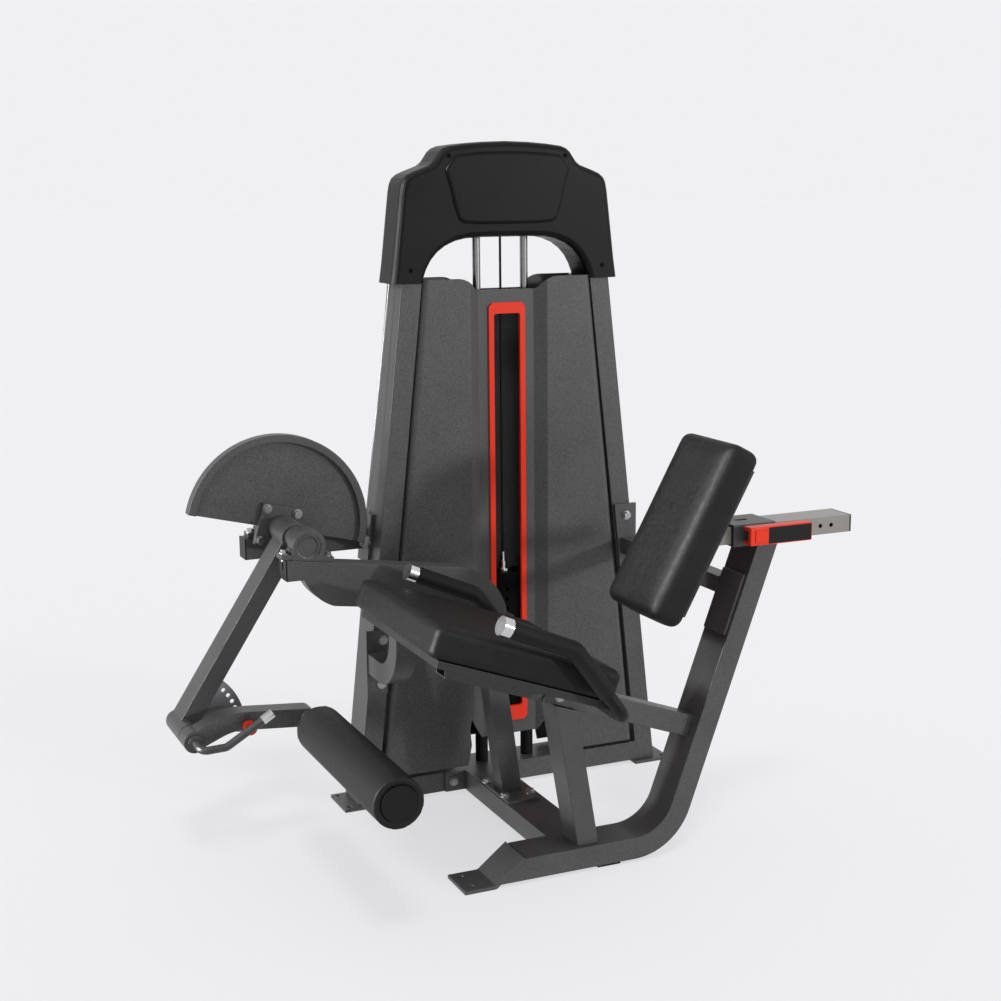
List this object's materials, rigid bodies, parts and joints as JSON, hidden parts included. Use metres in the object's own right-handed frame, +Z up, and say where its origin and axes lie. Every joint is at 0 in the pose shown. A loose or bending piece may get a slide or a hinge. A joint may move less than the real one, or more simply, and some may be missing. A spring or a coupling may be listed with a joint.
{
  "type": "leg extension machine",
  "caption": "Seated leg extension machine: shrouded weight stack tower, cable cam, swinging roller arm, sloping seat and sliding back rest.",
  "frame": {"origin": "middle of the anchor holes in the tower's floor plates, on the floor", "axes": "+Z up, the user faces -X, the stack tower is on the +Y side and the seat on the -Y side"},
  "size_m": [1.5, 0.9405, 1.617],
  "materials": {
    "powder_coat": "dark charcoal textured powder coat",
    "hood_plastic": "satin black moulded plastic",
    "trim_plastic": "glossy orange-red",
    "black_plastic": "matt black",
    "rubber": "matt black",
    "upholstery": "matt black vinyl",
    "board": "black painted plywood",
    "chrome": "polished",
    "rod_steel": "ground and hard chromed",
    "steel": "zinc plated",
    "weights": "black enamel",
    "slider_grey": "warm grey satin",
    "cable_coat": "grey coated steel cable",
    "foam_grip": "black foam"
  },
  "bodies": {
    "frame": {"tower_frame": "powder_coat", "floor_plates": "powder_coat", "front_shroud": "powder_coat", "rear_shroud": "powder_coat", "window_trim": "trim_plastic", "hood_front": "hood_plastic", "hood_rear": "hood_plastic", "hood_screws": "black_plastic", "guide_rods": "rod_steel", "rubber_bumpers": "rubber", "weight_plates_lower": "weights", "pulley_brackets": "steel", "cable_run": "cable_coat", "pillow_blocks": "powder_coat", "knee_bearings": "steel", "far_support_tube": "powder_coat", "side_beam": "powder_coat", "seat_posts": "powder_coat", "mounting_plates": "powder_coat", "connecting_tube": "powder_coat", "main_frame": "powder_coat", "seat_rail": "powder_coat", "upright_braces": "powder_coat", "frame_bolts": "steel", "seat_pad": "upholstery", "seat_board": "board", "seat_handles": "black_plastic", "handle_grips": "foam_grip", "handle_caps": "chrome", "slider_sleeve": "powder_coat", "plastic_inserts": "black_plastic"},
    "lever": {"cam_disc": "powder_coat", "cam_hub_plate": "powder_coat", "cam_fasteners": "steel", "cable_end": "cable_coat", "knee_shaft": "powder_coat", "lever_arm": "powder_coat", "sector_plate": "steel"},
    "foot_arm": {"roller_arm": "powder_coat", "adjusting_handle": "powder_coat", "adjusting_handle_tip": "chrome"},
    "roller": {"roller_pad": "upholstery", "roller_core": "black_plastic"},
    "pop_pin": {"pop_pin": "steel", "pop_pin_knob": "trim_plastic"},
    "lifted_stack": {"weight_plates_lifted": "weights", "top_plate": "weights", "selector_rod": "chrome", "cable_to_stack": "cable_coat"},
    "selector_pin": {"selector_pin": "black_plastic"},
    "pulley_outer": {"pulley_outer": "black_plastic"},
    "pulley_inner": {"pulley_inner": "black_plastic"},
    "back_rest": {"slider_tube": "slider_grey", "slider_end_cap": "black_plastic", "back_board": "board", "back_pad": "upholstery"},
    "adjuster_lever": {"adjuster_lever": "trim_plastic", "adjuster_face": "black_plastic"},
    "lock_pin": {"lock_pin": "steel"}
  },
  "joints": [
    {"name": "knee_hinge", "type": "hinge", "parent": "frame", "child": "lever", "pos_m": [-0.586, -0.0425, 0.722], "axis": [0, 1, 0], "range_deg": [0, 95]},
    {"name": "stack_lift", "type": "slide", "parent": "frame", "child": "lifted_stack", "axis": [0, 0, 1], "range_m": [0, 0.375], "deforming": ["cable_to_stack"]},
    {"name": "outer_pulley_spin", "type": "hinge", "parent": "frame", "child": "pulley_outer", "pos_m": [-0.226, 0.0025, 1.496], "axis": [0, 1, 0], "range_deg": [-620, 0]},
    {"name": "inner_pulley_spin", "type": "hinge", "parent": "frame", "child": "pulley_inner", "pos_m": [-0.036, 0.0025, 1.496], "axis": [0, 1, 0], "range_deg": [-620, 0]},
    {"name": "foot_arm_adjust", "type": "hinge", "parent": "lever", "child": "foot_arm", "pos_m": [-0.86, -0.0425, 0.297], "axis": [0, 1, 0], "range_deg": [-32, 16]},
    {"name": "roller_spin", "type": "hinge", "parent": "foot_arm", "child": "roller", "pos_m": [-0.597, -0.0425, 0.318], "axis": [0, 1, 0], "continuous": true},
    {"name": "pop_pin_pull", "type": "slide", "parent": "foot_arm", "child": "pop_pin", "axis": [0, -1, 0], "range_m": [0, 0.01], "stiffness_N_per_m": 600, "springref_m": -0.012},
    {"name": "selector_pin_pull", "type": "slide", "parent": "lifted_stack", "child": "selector_pin", "axis": [0, -1, 0], "range_m": [0, 0.045]},
    {"name": "back_slide", "type": "slide", "parent": "frame", "child": "back_rest", "axis": [-1, 0, 0], "range_m": [-0.03, 0.15]},
    {"name": "adjuster_swing", "type": "hinge", "parent": "frame", "child": "adjuster_lever", "pos_m": [0.33, -0.6405, 0.733], "axis": [0, 0, -1], "range_deg": [0, 12], "stiffness_Nm_per_rad": 6, "springref_deg": -8.59},
    {"name": "lock_pin_pull", "type": "slide", "parent": "frame", "child": "lock_pin", "axis": [0, -1, 0], "range_m": [0, 0.012]}
  ],
  "couplings": [
    {"joint": "stack_lift", "follows": "knee_hinge", "m_per_rad": 0.2231},
    {"joint": "outer_pulley_spin", "follows": "knee_hinge", "ratio": -6.1972},
    {"joint": "inner_pulley_spin", "follows": "knee_hinge", "ratio": -6.1972},
    {"joint": "lock_pin_pull", "follows": "adjuster_swing", "m_per_rad": 0.05}
  ]
}
